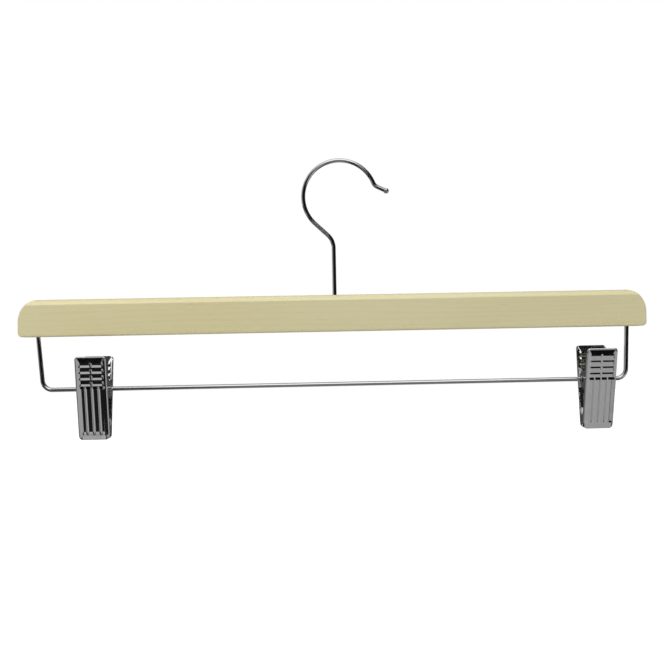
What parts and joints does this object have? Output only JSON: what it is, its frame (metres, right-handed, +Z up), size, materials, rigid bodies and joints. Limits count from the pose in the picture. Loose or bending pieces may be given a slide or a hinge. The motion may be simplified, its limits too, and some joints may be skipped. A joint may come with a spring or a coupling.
{
  "type": "skirt hanger",
  "caption": "Flat wooden bar on a swivelling wire hook, with a wire rail below it that carries two sprung sheet-metal clips for holding a skirt or trousers by the waistband.",
  "frame": {"origin": "underside of the hook's crown straight above the stem, where a closet rod bears", "axes": "+X along the wooden bar towards the hook's open side, +Z up, -Y out of the bar's front face; the closet rod runs along Y"},
  "size_m": [0.38, 0.0261, 0.1682],
  "materials": {
    "wood": "pale sanded wood under a thin clear lacquer, satin",
    "hook_wire": "bright chrome plate on drawn steel wire",
    "rail_wire": "bright chrome plate on drawn steel wire",
    "washer": "dull zinc plate on stamped steel",
    "pivot_tube": "plated steel tube with rolled ends",
    "jaw_sheet": "bright chrome plate on stamped sheet steel",
    "spring_wire": "drawn spring steel, lightly plated",
    "pad": "pale translucent soft plastic, matt"
  },
  "bodies": {
    "hook": {"hook": "hook_wire"},
    "bar": {"wooden_bar": "wood", "hook_washer": "washer", "clip_rail": "rail_wire"},
    "left_tube": {"left_pivot_tube": "pivot_tube"},
    "left_back": {"left_back_jaw": "jaw_sheet", "left_back_pad": "pad", "left_spring": "spring_wire"},
    "left_front": {"left_front_jaw": "jaw_sheet", "left_front_pad": "pad"},
    "right_tube": {"right_pivot_tube": "pivot_tube"},
    "right_back": {"right_back_jaw": "jaw_sheet", "right_back_pad": "pad", "right_spring": "spring_wire"},
    "right_front": {"right_front_jaw": "jaw_sheet", "right_front_pad": "pad"}
  },
  "joints": [
    {"name": "hook_swivel", "type": "hinge", "parent": "hook", "child": "bar", "pos_m": [0, 0, -0.1028], "axis": [0, 0, 1], "continuous": true},
    {"name": "left_clip_slide", "type": "slide", "parent": "bar", "child": "left_tube", "axis": [1, 0, 0], "range_m": [-0.0144, 0.131]},
    {"name": "left_clip_swing", "type": "hinge", "parent": "left_tube", "child": "left_back", "pos_m": [-0.146, 0, -0.13481], "axis": [1, 0, 0], "continuous": true},
    {"name": "left_clip_opening", "type": "hinge", "parent": "left_back", "child": "left_front", "pos_m": [-0.146, 0, -0.13481], "axis": [-1, 0, 0], "range_deg": [0, 30], "stiffness_Nm_per_rad": 0.107, "springref_deg": -114.59, "deforming": ["left_spring"]},
    {"name": "right_clip_slide", "type": "slide", "parent": "bar", "child": "right_tube", "axis": [1, 0, 0], "range_m": [-0.145, 0.0019]},
    {"name": "right_clip_swing", "type": "hinge", "parent": "right_tube", "child": "right_back", "pos_m": [0.16, 0, -0.13481], "axis": [1, 0, 0], "continuous": true},
    {"name": "right_clip_opening", "type": "hinge", "parent": "right_back", "child": "right_front", "pos_m": [0.16, 0, -0.13481], "axis": [-1, 0, 0], "range_deg": [0, 30], "stiffness_Nm_per_rad": 0.107, "springref_deg": -114.59, "deforming": ["right_spring"]}
  ]
}
